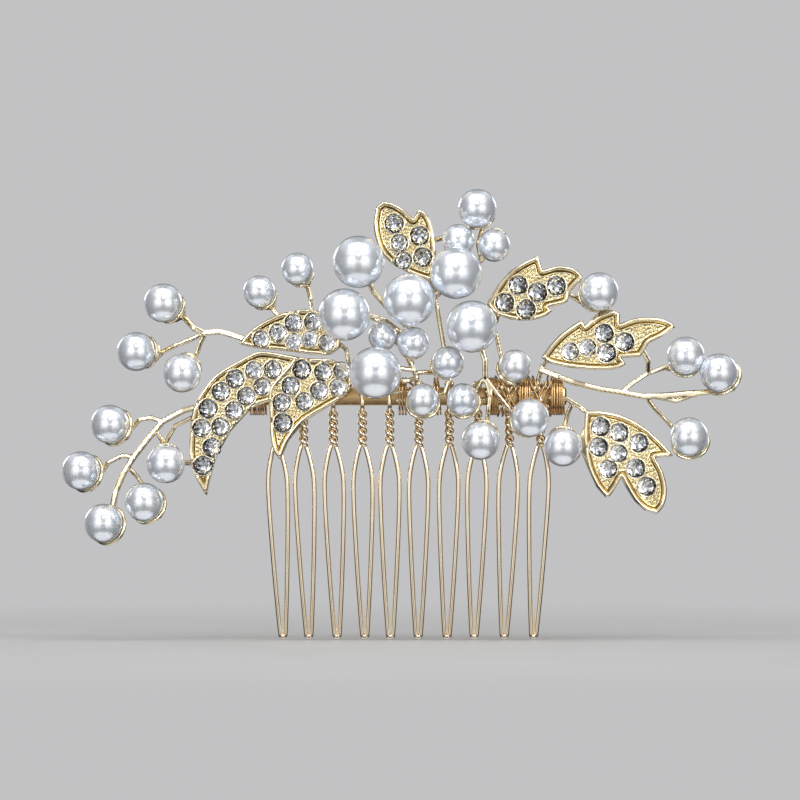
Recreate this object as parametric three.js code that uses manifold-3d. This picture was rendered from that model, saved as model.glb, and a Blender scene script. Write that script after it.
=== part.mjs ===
// Decorative hair comb: ten hairpin teeth twisted onto a flat spine bar, eight gold castings of leaves
// and sprigs bound to the bar with fine wire, paved stones in the leaves, and pearls glued on pegs.
// Millimetres, +Z up. The teeth point down and the decorated face looks towards -Y. Pieces are drawn from
// the centre of the spine bar, and the finished comb is moved so that its origin is the flat on the back
// of the bar between the fourth and fifth teeth.
import * as THREE from "three";
import { mergeVertices } from "three/addons/utils/BufferGeometryUtils.js";
import Module from "manifold-3d";

const wasm = await Module();
wasm.setup();

// ---- Driving dimensions ----

const HEAD_RADIUS = 250; // the comb is bowed to this radius to follow the head
const BAR = { left: -24.5, right: 24.6, height: 2.8, thickness: 0.8 };
const TOOTH_CENTRES = [-20.2, -16, -11.4, -6.9, -2.7, 1.8, 6.5, 10.9, 15.8, 20.6];
const TOOTH = {
  wire: 0.37, // radius of the wire
  turns: 2.25, // turns of one strand round the other
  coil: 0.45, // radius of the twist's centreline
  top: -2.1, // where the twist starts
  split: -7.7, // where the strands part into legs
  tip: -37.3,
  lean: -0.05, // how far the tips draw together, as a share of the tooth's own x
  sweep: 0.0022, // how the legs curve towards the head
  clear: 0.08, // gap between a strand and the bar
};
// How far each leg stands from the tooth's middle, and at what height.
const LEG = [
  [0.95, -9.7], [1.42, -12.6], [1.45, -16.5], [1.2, -23], [0.84, -30], [0.42, -36.4], [0.27, -37.05],
];
const LEAF = { thickness: 1.2, border: 0.7 }; // border: metal left bare round the cement
const CEMENT = { low: 1.23, high: 1.43 }; // heights above a leaf's back, as are the stones' heights
const STONE = { foot: 1.05, girdle: 1.38, table: 0.85, girdleHeight: 1.7, tableHeight: 2.15, sides: 6 };
// depth: where a pearl's bore ends, as a share of its radius. gap: from there to the end of the peg.
const PEG = { radius: 0.42, bore: 0.62, depth: 0.15, gap: 0.3 };
const STEM = { main: 0.55, branch: 0.42, sides: 4 };
// reach: how far a coil stands above and below the bar. square: under 1 squares the coil's section.
const BINDING = { radius: 0.16, sides: 3, steps: 8, reach: 1.4, square: 0.6 };

const gold = { color: 0xd9a94e, metalness: 1, roughness: 0.24 };
const MATERIALS = {
  gold: new THREE.MeshStandardMaterial({ ...gold, name: "gold_plate" }),
  wire: new THREE.MeshStandardMaterial({ ...gold, color: 0xc9924a, roughness: 0.3, name: "gold_wire" }),
  pearl: new THREE.MeshStandardMaterial({ color: 0xe9e9ee, roughness: 0.18, name: "pearl" }),
  crystal: new THREE.MeshStandardMaterial({ color: 0xdfe6ee, roughness: 0.05, name: "crystal" }),
};

// How far the bow moves a point at x towards the head.
function bow(x) {
  return (x * x) / (2 * HEAD_RADIUS);
}

function place([x, y, z]) {
  return new THREE.Vector3(x, y + bow(x), z);
}

// ---- Solids ----

function solid(geometry) {
  const bare = geometry.index ? geometry.toNonIndexed() : geometry.clone();
  bare.deleteAttribute("normal");
  bare.deleteAttribute("uv");
  const merged = mergeVertices(bare, 1e-4);
  const vertProperties = merged.attributes.position.array;
  const triVerts = new Uint32Array(merged.index.array);
  return new wasm.Manifold(new wasm.Mesh({ numProp: 3, vertProperties, triVerts }));
}

function union(solids) {
  return solids.reduce((sum, next) => sum.add(next));
}

function meshOf(name, made, material) {
  const { numProp, vertProperties, triVerts } = made.getMesh();
  const position = new Float32Array((vertProperties.length / numProp) * 3);
  for (let i = 0; i < position.length / 3; i++) {
    position.set(vertProperties.subarray(i * numProp, i * numProp + 3), i * 3);
  }
  const geometry = new THREE.BufferGeometry();
  geometry.setAttribute("position", new THREE.BufferAttribute(position, 3));
  geometry.setIndex(new THREE.BufferAttribute(triVerts, 1));
  geometry.computeVertexNormals();
  const mesh = new THREE.Mesh(geometry, material);
  mesh.name = name;
  return mesh;
}

function roundSection(radius, sides) {
  const corner = (i) => (2 * Math.PI * (i + 0.5)) / sides;
  const points = Array.from({ length: sides }, (_, i) => {
    return new THREE.Vector2(radius * Math.cos(corner(i)), radius * Math.sin(corner(i)));
  });
  return new THREE.Shape(points);
}

// A smooth line whose samples fall evenly between its points, so that tight bends get more of them.
class Wire extends THREE.CatmullRomCurve3 {
  getUtoTmapping(u) {
    return u;
  }
}

function rod(points, radius, sides) {
  const extrudePath = new Wire(points);
  const steps = points.length - 1;
  return new THREE.ExtrudeGeometry(roundSection(radius, sides), { steps, extrudePath });
}

// A flat plate from a shape drawn in x and z, with its back at y = -low and its front at y = -high.
function plate(shape, low, high) {
  const geometry = new THREE.ExtrudeGeometry(shape, {
    depth: high - low,
    bevelEnabled: false,
    curveSegments: 1,
  });
  return geometry.rotateX(Math.PI / 2).translate(0, -low, 0);
}

function turned(profile, sides) {
  return new THREE.LatheGeometry(
    profile.map(([r, y]) => new THREE.Vector2(r, y)),
    sides,
  );
}

// ---- Spine bar and teeth ----

const TOOTH_SEAT = 1.3; // half the width of bar that a tooth's strands cross
const SAMPLES_PER_TURN = 5.4; // points along a strand for each turn of its twist

function spineBar() {
  const stations = TOOTH_CENTRES.flatMap((x) => [x - TOOTH_SEAT, x + TOOTH_SEAT]);
  const line = [BAR.left, ...stations, BAR.right];
  const side = (y) => line.map((x) => new THREE.Vector2(x, y + bow(x)));
  const plan = [...side(-BAR.thickness / 2), ...side(BAR.thickness / 2).reverse()];
  const bar = new THREE.ExtrudeGeometry(new THREE.Shape(plan), { depth: BAR.height, bevelEnabled: false });
  return solid(bar.translate(0, 0, -BAR.height / 2));
}

// One strand of a tooth from its free end above the bar down to the tip; side is -1 in front, 1 behind.
function strand(side) {
  const clear = BAR.thickness / 2 + TOOTH.wire + TOOTH.clear;
  const crest = BAR.height / 2 + TOOTH.wire + 0.18;
  const points = [
    [side * 0.42, side * 0.12, crest],
    [side * 0.36, side * 0.66, crest - 0.1],
    [side * 0.28, side * clear, crest - 0.6],
    [side * 0.1, side * clear, 0],
    [0, side * clear, -BAR.height / 2],
  ];
  const samples = Math.round(TOOTH.turns * SAMPLES_PER_TURN);
  for (let i = 0; i <= samples; i++) {
    const angle = (side * Math.PI) / 2 + (2 * Math.PI * TOOTH.turns * i) / samples;
    const z = TOOTH.top + ((TOOTH.split - TOOTH.top) * i) / samples;
    points.push([TOOTH.coil * Math.cos(angle), TOOTH.coil * Math.sin(angle), z]);
  }
  const out = -side; // the front strand leaves the twist to the right
  return [...points, ...LEG.map(([x, z]) => [out * x, 0, z])];
}

function tooth(centre) {
  const hairpin = [...strand(-1), [0, 0, TOOTH.tip], ...strand(1).reverse()];
  const points = hairpin.map(([x, y, z]) => {
    const drop = Math.max(0, TOOTH.split - z);
    const lean = (TOOTH.lean * centre * drop) / (TOOTH.split - TOOTH.tip);
    const at = place([centre + x + lean, y + TOOTH.sweep * drop * drop, z]);
    at.y += bow(centre) - bow(at.x);
    return at;
  });
  return solid(rod(points, TOOTH.wire, 4));
}

// ---- Binding wire ----

// A coil round the bar and what lies against it. Each slot is an x where the wire passes under the
// bar and up its front. It moves on to the next slot on its way over the top and down the back.
function binding(slots, front, back) {
  const middle = (front + back) / 2;
  const depth = (back - front) / 2;
  const height = BAR.height / 2 + BINDING.reach;
  const squared = (value) => Math.sign(value) * Math.abs(value) ** BINDING.square;
  const points = [];
  for (let k = 0; k < slots.length - 1; k++) {
    for (let i = 0; i < BINDING.steps; i++) {
      const share = i / BINDING.steps;
      const angle = 2 * Math.PI * share;
      const across = THREE.MathUtils.smoothstep(share, 0.55, 0.95);
      const x = THREE.MathUtils.lerp(slots[k], slots[k + 1], across);
      const y = middle - depth * squared(Math.sin(angle));
      points.push(place([x, y, -height * squared(Math.cos(angle))]));
    }
  }
  points.push(place([slots.at(-1), middle, -height]));
  return solid(rod(points, BINDING.radius, BINDING.sides));
}

const BINDINGS = {
  binding_wire_left: { slots: [-24.2, -23.7, -23.2, -22.7, -22.2, -21.7], front: -2, back: 1 },
  binding_wire_middle: { slots: [-1.2, -0.7, -0.2, 4.2, 4.7, 5.2], front: -2.85, back: 1.6 },
  binding_wire_right: {
    slots: [12.4, 12.9, 13.4, 13.9, 17.4, 17.9, 18.4, 18.9, 22.3, 22.8, 23.3, 23.8, 24.3],
    front: -2.85,
    back: 1.6,
  },
};

// ---- Pearls and their cups ----

// at: x, y and z of the centre. lean: how the peg's axis leans in x and z for one unit towards the head.
// cup: the cup's radius as a share of the pearl's.
const PEARLS = {
  lower_left_pearl_1: { d: 6, at: [-45.9, -4.6, -4.3], lean: [0.8, -0.45], cup: 0.82 },
  lower_left_pearl_2: { d: 6, at: [-50.4, -4.6, -11.5], lean: [0.7, -0.35], cup: 0.82 },
  lower_left_pearl_3: { d: 6, at: [-46.9, -4.6, -19.6], lean: [0.6, -0.3], cup: 0.82 },
  lower_left_pearl_4: { d: 6, at: [-40.6, -4.6, -16.3], lean: [0.6, -0.5], cup: 0.82 },
  lower_left_pearl_5: { d: 6, at: [-37.2, -4.6, -10.4], lean: [0, 0.5], cup: 0.6 },
  upper_left_pearl_1: { d: 6, at: [-37.6, -4.6, 14.4], lean: [1.1, -0.75], cup: 0.7 },
  upper_left_pearl_2: { d: 6, at: [-41.8, -4.6, 6.9], lean: [1.3, -0.1], cup: 0.7 },
  upper_left_pearl_3: { d: 6, at: [-34.7, -4.6, 3.6], lean: [0.5, 0.6], cup: 0.6 },
  leaf_pearl_1: { d: 5, at: [-22.8, -4.2, 16.1], lean: [0.8, -0.9], cup: 0.7 },
  leaf_pearl_2: { d: 5, at: [-16.9, -4.2, 19.6], lean: [0.5, -0.8], cup: 0.6 },
  centre_pearl_1: { d: 8, at: [-7.5, -8.8, 20.6], lean: [0.2, -0.3], cup: 0.55 },
  centre_pearl_2: { d: 8, at: [-9.6, -8.8, 12.5], lean: [0.45, 0.1], cup: 0.5 },
  centre_pearl_3: { d: 8, at: [-4.9, -8.5, 3.6], lean: [0.3, 0.2], cup: 0.5 },
  centre_pearl_4: { d: 8, at: [0.3, -9.2, 14.8], lean: [0, 0], cup: 0.5 },
  centre_pearl_5: { d: 8, at: [7.5, -8.8, 18.9], lean: [-0.3, -0.3], cup: 0.5 },
  centre_pearl_6: { d: 8, at: [9.9, -8.8, 10.7], lean: [0.2, -0.4], cup: 0.5 },
  cluster_pearl_1: { d: 4.5, at: [-3.8, -5.3, 9.2], lean: [0.4, 0.1], cup: 0.6 },
  cluster_pearl_2: { d: 5, at: [0.9, -6.3, 8.2], lean: [-0.1, -0.4], cup: 0.6 },
  cluster_pearl_3: { d: 5, at: [6.3, -5.6, 5.2], lean: [-0.7, -0.5], cup: 0.7 },
  cluster_pearl_4: { d: 5, at: [16.6, -4.8, 4.7], lean: [-0.6, -0.9], cup: 0.7 },
  cluster_pearl_5: { d: 5, at: [2.4, -5.2, -0.5], lean: [0, -0.5], cup: 0.62 },
  cluster_pearl_6: { d: 5, at: [8.5, -5.2, -0.5], lean: [0.35, -0.55], cup: 0.8 },
  top_pearl_1: { d: 6, at: [10.8, -4.6, 28.9], lean: [0.25, -0.6], cup: 0.65 },
  top_pearl_2: { d: 5, at: [7.9, -4.4, 24], lean: [-0.4, 0.2], cup: 0.6 },
  top_pearl_3: { d: 5, at: [13.4, -5, 23.2], lean: [0.1, 0.5], cup: 0.65 },
  drop_pearl_1: { d: 6, at: [11.3, -5.2, -6.8], lean: [0.3, 0.6], cup: 0.65 },
  drop_pearl_2: { d: 6, at: [18.9, -6, -3.3], lean: [-0.4, -0.4], cup: 0.65 },
  drop_pearl_3: { d: 6, at: [24, -5, -7.8], lean: [0, 0.6], cup: 0.65 },
  right_pearl_1: { d: 6, at: [29.6, -4.4, 16.1], lean: [-0.7, -0.5], cup: 0.65 },
  right_pearl_2: { d: 6, at: [43, -3.6, 6.2], lean: [-0.1, -0.6], cup: 0.82 },
  right_pearl_3: { d: 6, at: [48.1, -5.4, 3.6], lean: [0.6, -0.6], cup: 0.84 },
  right_pearl_4: { d: 6, at: [43.5, -4.6, -6.3], lean: [0.2, -0.5], cup: 0.82 },
};

const PEARL_SIDES = 9;
const PEARL_BANDS = 5;
// gap: clearance behind the pearl. wall: thickness of the cup's floor. large: the share of the pearl's
// radius over which a cup gets more sides and a bellied bowl.
const CUP = { gap: 0.2, wall: 0.6, large: 0.62 };

function pegAxis({ lean }) {
  return new THREE.Vector3(lean[0], 1, lean[1]).normalize();
}

// Turns a shape lathed about +Y onto the peg's axis and moves it to the pearl's centre.
function seat(geometry, pearl) {
  const turn = new THREE.Quaternion().setFromUnitVectors(new THREE.Vector3(0, 1, 0), pegAxis(pearl));
  const centre = place(pearl.at);
  return solid(geometry.applyQuaternion(turn).translate(centre.x, centre.y, centre.z));
}

function pearlBody(pearl) {
  const radius = pearl.d / 2;
  const mouth = Math.asin(PEG.bore / radius);
  const profile = [];
  for (let i = 0; i <= PEARL_BANDS; i++) {
    const angle = Math.PI - ((Math.PI - mouth) * i) / PEARL_BANDS;
    profile.push([radius * Math.sin(angle), radius * Math.cos(angle)]);
  }
  profile[0][0] = 0;
  profile.push([PEG.bore, PEG.depth * radius], [0, PEG.depth * radius]);
  return seat(turned(profile, PEARL_SIDES), pearl);
}

// A cup that follows the back of its pearl, with the peg that stands in the pearl's bore. Its corners
// stand out far enough for its flats to clear the pearl.
function cupWithPeg(pearl) {
  const large = pearl.cup > CUP.large;
  const sides = large ? 8 : 5;
  const flare = 1 / Math.cos(Math.PI / sides);
  const radius = pearl.d / 2 + CUP.gap;
  const bowlAt = (share) => [radius * share * flare, radius * Math.sqrt(1 - share * share)];
  const back = radius + CUP.wall;
  const pegEnd = radius * PEG.depth + PEG.gap;
  const inner = [[0, pegEnd], [PEG.radius, pegEnd], [PEG.radius, radius]];
  const bowl = large ? [bowlAt(0.5)] : [];
  const outer = [bowlAt(pearl.cup), [radius * pearl.cup * 0.65, back - 0.15], [0, back]];
  return seat(turned([...inner, ...bowl, ...outer], sides), pearl);
}

// The last points of a stem: one behind a pearl's cup, and its end in the back of the cup.
function cupApproach(name) {
  const pearl = PEARLS[name];
  const end = pearl.d / 2 + CUP.gap + CUP.wall / 2;
  const onAxis = (reach) => place(pearl.at).addScaledVector(pegAxis(pearl), reach);
  return [onAxis(end + 1), onAxis(end)];
}

// ---- Leaves ----

// Each leaf is drawn in x and z as runs of smooth edge that meet in points and notches.
// low: distance of the leaf's back in front of the bar's centre. stones: x and z of each.
const LEAVES = {
  twin: {
    low: 2.4,
    runs: [
      [
        [-30.9, -15.3], [-33, -11.4], [-33.5, -8.2], [-33.3, -4.9], [-32.9, -2], [-30.5, 2.3], [-26.3, 5.2],
        [-22.9, 6.8],
      ],
      [[-22.9, 6.8], [-19.5, 6.6], [-16.5, 5.9], [-11.3, 5.6]],
      [[-11.3, 5.6], [-8.6, 3.6], [-8.5, 1.3], [-10.6, -0.8], [-14.8, -3], [-17.9, -6.3], [-19.5, -9.8]],
      [[-19.5, -9.8], [-20.8, -7.4], [-21, -4], [-21.1, -0.7]],
      [[-21.1, -0.7], [-24.8, -2.4], [-28.6, -7.5], [-30.2, -12], [-30.9, -15.3]],
    ],
    stones: [
      [-23.5, 4], [-20.6, 4.1], [-26.4, 2.7], [-22.2, 1.5], [-28.6, 0.7], [-24.7, 0], [-30.6, -1.9],
      [-26.6, -2.2], [-31.6, -4.9], [-28.7, -4.7], [-30, -7.9], [-31.4, -10.7], [-16.1, 4.1],
      [-12.8, 3.7], [-9.9, 4], [-17.8, 1.6], [-13.4, 0.9], [-10.5, 1.4], [-19.2, -1], [-15.7, -0.8],
      [-19, -4.1],
    ],
  },
  upper_left: {
    low: 2.4,
    runs: [
      [[-25.8, 8.1], [-23.2, 10.8], [-19.4, 12.6], [-15.5, 13.4], [-11.6, 12.4]],
      [[-11.6, 12.4], [-10.2, 10.4], [-10.4, 7.4]],
      [[-10.4, 7.4], [-12.4, 6.3], [-16, 6.7], [-19.1, 7.1], [-22.8, 7.4], [-25.8, 8.1]],
    ],
    stones: [
      [-22.4, 8.8], [-19.8, 9.8], [-17.4, 11.3], [-17.4, 8.4], [-14.4, 11.5], [-14.9, 8.8], [-12.3, 8.2],
    ],
  },
  top: {
    low: 2.0,
    runs: [
      [[3.5, 17.8], [0.1, 19.1], [-3.2, 21.2], [-4.9, 24.6], [-5, 28.7], [-3.6, 30]],
      [[-3.6, 30], [-1.2, 29.2], [0.9, 27.3]],
      [[0.9, 27.3], [1.8, 28.8]],
      [[1.8, 28.8], [3.4, 27.5], [4.2, 24.3], [4.5, 19.7], [3.5, 17.8]],
    ],
    stones: [[-2, 26.6], [1.9, 24.7], [-1.2, 23.6], [2.4, 21.4], [-0.6, 20.9]],
  },
  right_upper: {
    low: 2.4,
    runs: [
      [[12.2, 14.2], [14.6, 18], [17.2, 20.2], [20.1, 21.6]],
      [[20.1, 21.6], [20.8, 19.4]],
      [[20.8, 19.4], [24.4, 20.1], [27.1, 18.5]],
      [[27.1, 18.5], [24.6, 15.6], [24.8, 14.6], [21.6, 13.7]],
      [[21.6, 13.7], [22.2, 13], [20.2, 12], [17.2, 11.7], [13.9, 12.5], [12.2, 14.2]],
    ],
    stones: [[14.9, 14.4], [17, 17.1], [20, 16], [22.9, 17], [18.2, 13.4]],
  },
  right_middle: {
    low: 2.4,
    runs: [
      [[20.6, 6], [22.5, 8.5], [24.6, 10.3], [26.9, 11.8]],
      [[26.9, 11.8], [27.2, 10.8]],
      [[27.2, 10.8], [30.1, 12.8], [32.5, 13.2], [32.6, 11.1]],
      [[32.6, 11.1], [36.3, 12.2], [40, 11.7], [41.3, 10.7]],
      [[41.3, 10.7], [38.7, 8.9], [36.6, 7.9], [36.4, 6.3], [32.8, 6]],
      [[32.8, 6], [33.6, 4.8], [30.8, 4.1], [26.6, 4.3], [22.5, 4.9], [20.6, 6]],
    ],
    stones: [[24.9, 6.9], [27.6, 7.5], [30.2, 9.7], [30.6, 6.7], [33.4, 8.4]],
  },
  right_lower: {
    low: 2.4,
    runs: [
      [[27.3, -2.3], [30.9, -2.5], [34.9, -3.8], [38.3, -6.4], [41, -9.2]],
      [[41, -9.2], [38.1, -9.4]],
      [[38.1, -9.4], [39.7, -12.7], [39.8, -16], [38.5, -18.1]],
      [[38.5, -18.1], [36, -17.2], [34.2, -14.8], [32.9, -12.4]],
      [[32.9, -12.4], [31.5, -14.8], [30.6, -15.6]],
      [[30.6, -15.6], [28.7, -13.3], [27.3, -9.3], [27.1, -5], [27.3, -2.3]],
    ],
    stones: [
      [29.6, -4.7], [32.5, -5.6], [29.3, -7.8], [32.4, -8.8], [35.6, -7.2], [30.8, -11.2], [35.1, -11.1],
      [36.8, -13.9],
    ],
  },
};

function outline(leaf) {
  const shape = new THREE.Shape();
  const vectors = leaf.runs.map((run) => run.map(([x, z]) => new THREE.Vector2(x, z)));
  shape.moveTo(vectors[0][0].x, vectors[0][0].y);
  vectors.forEach((run) => {
    if (run.length === 2) shape.lineTo(run[1].x, run[1].y);
    else shape.splineThru(run.slice(1));
  });
  const points = shape.getPoints(1);
  if (points[0].distanceTo(points.at(-1)) < 1e-6) points.pop();
  return points;
}

function distanceTo(points, p) {
  const gaps = points.map((a, i) => {
    const b = points[(i + 1) % points.length];
    const along = b.clone().sub(a);
    const share = THREE.MathUtils.clamp(p.clone().sub(a).dot(along) / along.lengthSq(), 0, 1);
    return p.distanceTo(a.clone().addScaledVector(along, share));
  });
  return Math.min(...gaps);
}

// The outline moved inwards, without the points that come too near another part of the edge.
function inset(points, distance) {
  const turn = THREE.ShapeUtils.isClockWise(points) ? -1 : 1;
  const count = points.length;
  const moved = points.map((p, i) => {
    const along = points[(i + 1) % count].clone().sub(points[(i + count - 1) % count]).normalize();
    return p.clone().add(new THREE.Vector2(-along.y, along.x).multiplyScalar(turn * distance));
  });
  return moved.filter((p) => distanceTo(points, p) > 0.9 * distance);
}

// Sets a leaf's flat pieces, drawn with their back at y = 0, square to the bow at the leaf's middle.
function onBow(geometry, leaf) {
  const all = leaf.runs.flat().map(([x]) => x);
  const middle = (Math.min(...all) + Math.max(...all)) / 2;
  geometry.translate(-middle, 0, 0).rotateZ(Math.atan(middle / HEAD_RADIUS));
  return solid(geometry.translate(middle, bow(middle) - leaf.low, 0));
}

function leafPlate(leaf) {
  return onBow(plate(new THREE.Shape(outline(leaf)), 0, LEAF.thickness), leaf);
}

// A leaf's stones with the film of cement that holds them.
function stoneSet(leaf) {
  const bed = new THREE.Shape(inset(outline(leaf), LEAF.border));
  const { foot, girdle, table, girdleHeight, tableHeight, sides } = STONE;
  const base = (CEMENT.low + CEMENT.high) / 2;
  const crown = [[0, -tableHeight], [table, -tableHeight], [girdle, -girdleHeight]];
  const profile = [...crown, [foot, -base], [0, -base]];
  const stones = leaf.stones.map(([x, z]) => {
    const stone = turned(profile, sides);
    return onBow(stone.translate(x, 0, z), leaf);
  });
  return union([onBow(plate(bed, CEMENT.low, CEMENT.high), leaf), ...stones]);
}

// ---- Castings ----

// Each casting joins its leaf, the cups of its pearls and the stems between them. A stem is a line of
// points, and "to" ends it in the back of that pearl's cup.
const CASTINGS = {
  left_twin_leaf_casting: {
    leaf: "twin",
    stems: [
      {
        via: [
          [-31.6, -3, -1.4], [-34.6, -2.2, -2.2], [-37.8, -1.9, -3.9], [-40, -1.8, -6.5],
          [-42.2, -1.8, -9.3], [-43.8, -1.8, -11.8], [-45, -1.7, -14.6], [-45.5, -1.7, -17],
        ],
        to: "lower_left_pearl_3",
        main: true,
      },
      { via: [[-37.8, -1.9, -3.9], [-39.6, -1.9, -3.3], [-41.4, -1.9, -3.6]], to: "lower_left_pearl_1" },
      { via: [[-42.2, -1.8, -9.3], [-44.1, -1.8, -9.2], [-46.3, -1.8, -10.3]], to: "lower_left_pearl_2" },
      { via: [[-43.2, -1.8, -10.9], [-41.6, -1.3, -12.6], [-40, -0.6, -15]], to: "lower_left_pearl_4" },
      { via: [[-39, -1.85, -5.1], [-38, -1.7, -6.6]], to: "lower_left_pearl_5" },
      { via: [[-32.6, -3, -3], [-35.9, -2.1, -4.6], [-37.4, -1.4, -7.2]], to: "lower_left_pearl_5" },
      { via: [[-32, -3, -10.2], [-34.4, -1.6, -10.4]], to: "lower_left_pearl_5" },
      { via: [[-26.3, -3, 1], [-25.2, -1.7, 0.3], [-24.3, -1.3, 0], [-21.6, -1.3, 0]] },
    ],
  },
  upper_left_leaf_casting: {
    leaf: "upper_left",
    stems: [
      {
        via: [
          [-24.4, -3, 8.6], [-27.1, -2.6, 9.5], [-28.9, -2.3, 10], [-31.5, -2.2, 9.8],
          [-32.9, -2.3, 10.5],
        ],
        to: "upper_left_pearl_1",
        main: true,
      },
      { via: [[-31.3, -2.2, 9.8], [-33.4, -2.1, 8.8], [-35.9, -2.2, 7.8]], to: "upper_left_pearl_2" },
      { via: [[-31, -2.2, 9.9], [-31.9, -2.1, 8.3], [-32.4, -1.9, 6.8]], to: "upper_left_pearl_3" },
      { via: [[-19.4, -3, 12], [-20.7, -2.8, 13.3]], to: "leaf_pearl_1" },
      { via: [[-14.6, -3, 12.6], [-14.9, -2.6, 15]], to: "leaf_pearl_2" },
      {
        via: [
          [-11.4, -3, 9], [-9.4, -2, 7.2], [-8.8, -1.8, 4], [-7.6, -1.85, 1.2], [-5, -1.85, 0.6],
          [0.3, -1.85, 0.6],
        ],
      },
    ],
  },
  centre_cluster_casting: {
    stems: [
      {
        via: [
          [-1.7, -1.85, -0.6], [0.4, -1.85, -0.6], [1.7, -2.2, 0.8], [1.5, -2.8, 3], [-0.4, -2.8, 7],
          [-0.2, -2.6, 11],
        ],
        to: "centre_pearl_4",
      },
      {
        via: [
          [-0.2, -2.6, 11], [-2.6, -2.9, 13.2], [-5.2, -3.1, 16.2],
        ],
        to: "centre_pearl_1",
        main: true,
      },
      {
        via: [
          [-0.5, -2.5, 9.4], [-3.4, -3, 11.6], [-6.4, -3.4, 12.6],
        ],
        to: "centre_pearl_2",
        main: true,
      },
      { via: [[1.2, -2.8, 4], [-1, -3.2, 4.3]], to: "centre_pearl_3" },
      { via: [[-0.2, -2.6, 11], [2.4, -3, 13.4], [5, -3.4, 16]], to: "centre_pearl_5", main: true },
      { via: [[-0.7, -2.4, 7]], to: "cluster_pearl_1" },
      { via: [[0.8, -2.7, 5]], to: "cluster_pearl_2" },
      { via: [[1.3, -2.8, 3.6], [2.4, -3, 3.7]], to: "cluster_pearl_3" },
      { via: [[1.6, -2.6, 2.2], [2.3, -2, 0.4]], to: "cluster_pearl_5" },
      { via: [[1.5, -2.8, 2.8], [0.2, -3.6, 2.4], [-0.9, -3.9, 2.3]] },
    ],
  },
  top_leaf_casting: {
    leaf: "top",
    stems: [
      {
        via: [
          [3.2, -2.6, 19.4], [4.4, -1.9, 15], [5.6, -1.85, 8], [6.6, -1.85, 2.6], [5.8, -1.85, 0.4],
          [3.6, -1.85, 0],
        ],
      },
      { via: [[3.4, -2.6, 23.8]], to: "top_pearl_2" },
      { via: [[4.4, -2.1, 16.4], [8, -1.9, 19.4], [11.4, -1.9, 21]], to: "top_pearl_3", main: true },
      { via: [[11.4, -1.9, 21], [10.9, -1.6, 23.6]], to: "top_pearl_1" },
    ],
  },
  right_upper_leaf_casting: {
    leaf: "right_upper",
    stems: [
      {
        via: [
          [14.2, -3, 13.4], [13.5, -2.2, 10.6], [14.3, -1.9, 7], [15.2, -1.85, 3], [14.6, -1.85, 0.9],
          [12.1, -1.85, 0.6],
        ],
      },
      { via: [[14.6, -1.9, 6]], to: "cluster_pearl_4" },
      { via: [[24.2, -3, 16.2], [26.4, -2.2, 14.8]], to: "right_pearl_1" },
    ],
  },
  right_middle_leaf_casting: {
    leaf: "right_middle",
    stems: [
      {
        via: [
          [21.8, -3, 5.8], [20.7, -2.3, 4.4], [20.2, -1.9, 2.4], [19.6, -1.85, 0.6], [17.1, -1.85, 0.4],
        ],
      },
      {
        via: [
          [20.4, -2.3, 4.2], [23.4, -3.3, 3], [25.4, -2.9, 2.2], [27.4, -2.2, 1.7], [29.9, -2, 1.1],
          [33.1, -1.9, 0.6], [36.3, -1.8, 0], [39.6, -1.7, 0.1], [43, -1.7, 0.4], [46.4, -1.7, 0.6],
        ],
        to: "right_pearl_3",
        main: true,
      },
      {
        via: [
          [33.1, -1.9, 0.6], [34.9, -1.8, 2.1], [37.2, -1.6, 3.6], [39.9, -1.3, 4.4],
        ],
        to: "right_pearl_2",
      },
      {
        via: [
          [36.9, -1.8, 0], [38.3, -1.6, -1.9], [40.6, -1, -4.2], [42.2, -0.6, -6],
        ],
        to: "right_pearl_4",
      },
      { via: [[38, -1.8, 0], [41.6, -1.6, -0.7], [45.6, -1.8, 0.6]] },
      { via: [[36.4, -3, 7], [37.3, -2.2, 5.4], [37.2, -1.6, 3.6]] },
    ],
  },
  right_lower_leaf_casting: {
    leaf: "right_lower",
    stems: [
      {
        via: [
          [28.6, -3, -3.2], [26.6, -2.3, -1.6], [24.6, -1.95, -0.4], [23.2, -1.85, -0.3],
          [21.9, -1.85, -0.3],
        ],
      },
      { via: [[25.6, -2.1, -0.9], [24.9, -1.7, -2.4]], to: "drop_pearl_3" },
    ],
  },
  front_sprig_casting: {
    stems: [
      { via: [[12, -3.8, 2.9], [12, -4, 5.6]], to: "centre_pearl_6", main: true },
      { via: [[12, -3.8, 2.9], [10.9, -3.2, 1.4]], to: "cluster_pearl_6" },
      {
        via: [
          [12, -3.8, 2.9], [12.8, -3.9, 0.4], [12.5, -3.8, -2], [12.4, -3.2, -3.7],
        ],
        to: "drop_pearl_1",
      },
      { via: [[12, -3.8, 2.9], [14, -3.9, 0.2], [15.8, -3.7, -2], [16.4, -2.9, -4]], to: "drop_pearl_2" },
      {
        via: [
          [12, -3.8, 2.9], [10.3, -2.6, 1.4], [10, -1.9, 0], [11, -1.85, -0.6], [14.3, -1.85, -0.6],
        ],
      },
    ],
  },
};

function stem({ via, to, main }) {
  const points = via.map(place);
  if (to) points.push(...cupApproach(to));
  return solid(rod(points, main ? STEM.main : STEM.branch, STEM.sides));
}

function casting({ leaf, stems }) {
  const cups = new Set(stems.filter(({ to }) => to).map(({ to }) => to));
  const pieces = [...stems.map(stem), ...[...cups].map((name) => cupWithPeg(PEARLS[name]))];
  if (leaf) pieces.unshift(leafPlate(LEAVES[leaf]));
  return union(pieces);
}

// ---- Assembly ----

// The middle of the bar's back face between the fourth and fifth teeth, where something can be fastened.
function mountFlat() {
  const left = TOOTH_CENTRES[3] + TOOTH_SEAT;
  const right = TOOTH_CENTRES[4] - TOOTH_SEAT;
  return new THREE.Vector3((left + right) / 2, BAR.thickness / 2 + (bow(left) + bow(right)) / 2, 0);
}

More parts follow.
